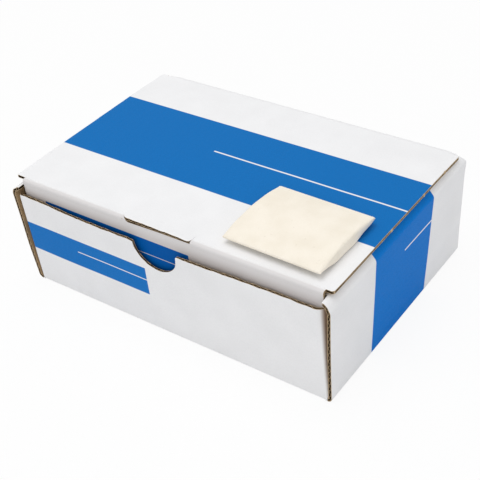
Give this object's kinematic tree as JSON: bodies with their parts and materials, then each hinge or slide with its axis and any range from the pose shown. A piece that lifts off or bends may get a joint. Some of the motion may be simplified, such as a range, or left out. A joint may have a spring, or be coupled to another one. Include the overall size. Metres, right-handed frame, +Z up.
{
  "type": "box of tailor's chalk",
  "caption": "Folded corrugated carton with a hinged tuck-in lid, rolled side walls and a thumb notch, holding two rows of lens-shaped tailor's chalk tablets, one laid out on the lid.",
  "frame": {"origin": "on the surface that the carton stands on, under its middle", "axes": "+X along the front wall to the right, +Y from the front wall to the lid's hinge, +Z up"},
  "size_m": [0.1672, 0.114, 0.0617],
  "materials": {
    "printed_board": "coated white face with blue bands, corrugated board",
    "kraft_board": "uncoated brown kraft inside face",
    "chalk": "matt cream pressed chalk"
  },
  "bodies": {
    "carton": {"base_panel": "kraft_board", "front_wall": "printed_board", "back_wall": "printed_board", "left_outer_wall": "printed_board", "right_outer_wall": "printed_board", "left_inner_wall": "printed_board", "right_inner_wall": "printed_board", "dust_flaps": "kraft_board", "tablet_01": "chalk", "tablet_02": "chalk", "tablet_03": "chalk", "tablet_04": "chalk", "tablet_05": "chalk", "tablet_06": "chalk", "tablet_07": "chalk", "tablet_08": "chalk", "tablet_09": "chalk", "tablet_10": "chalk", "tablet_11": "chalk", "tablet_12": "chalk", "tablet_13": "chalk", "tablet_14": "chalk", "tablet_15": "chalk", "tablet_16": "chalk", "tablet_17": "chalk", "tablet_18": "chalk", "tablet_19": "chalk", "tablet_20": "chalk", "tablet_21": "chalk", "tablet_22": "chalk", "tablet_23": "chalk", "tablet_24": "chalk", "tablet_25": "chalk", "tablet_26": "chalk", "tablet_27": "chalk", "tablet_28": "chalk", "tablet_29": "chalk", "tablet_30": "chalk", "tablet_31": "chalk", "tablet_32": "chalk", "tablet_33": "chalk", "tablet_34": "chalk", "tablet_35": "chalk", "tablet_36": "chalk", "tablet_37": "chalk", "tablet_38": "chalk", "tablet_39": "chalk", "tablet_40": "chalk", "tablet_41": "chalk", "tablet_43": "chalk", "tablet_44": "chalk", "tablet_45": "chalk", "tablet_46": "chalk", "tablet_47": "chalk", "tablet_48": "chalk", "tablet_49": "chalk", "tablet_50": "chalk"},
    "lid": {"lid_panel": "printed_board"},
    "flap": {"tuck_flap": "printed_board"},
    "loose_tablet": {"loose_tablet": "chalk"}
  },
  "joints": [
    {"name": "lid_hinge", "type": "hinge", "parent": "carton", "child": "lid", "pos_m": [0, 0.057, 0.0521], "axis": [-1, 0, 0], "range_deg": [0, 120]},
    {"name": "flap_crease", "type": "hinge", "parent": "lid", "child": "flap", "pos_m": [0, -0.0524, 0.054], "axis": [1, 0, 0], "range_deg": [0, 60]},
    {"name": "tablet_lift", "type": "slide", "parent": "lid", "child": "loose_tablet", "axis": [0, 0, 1], "range_m": [0, 0.06]}
  ],
  "couplings": [
    {"joint": "flap_crease", "follows": "lid_hinge", "ratio": 0.5}
  ]
}
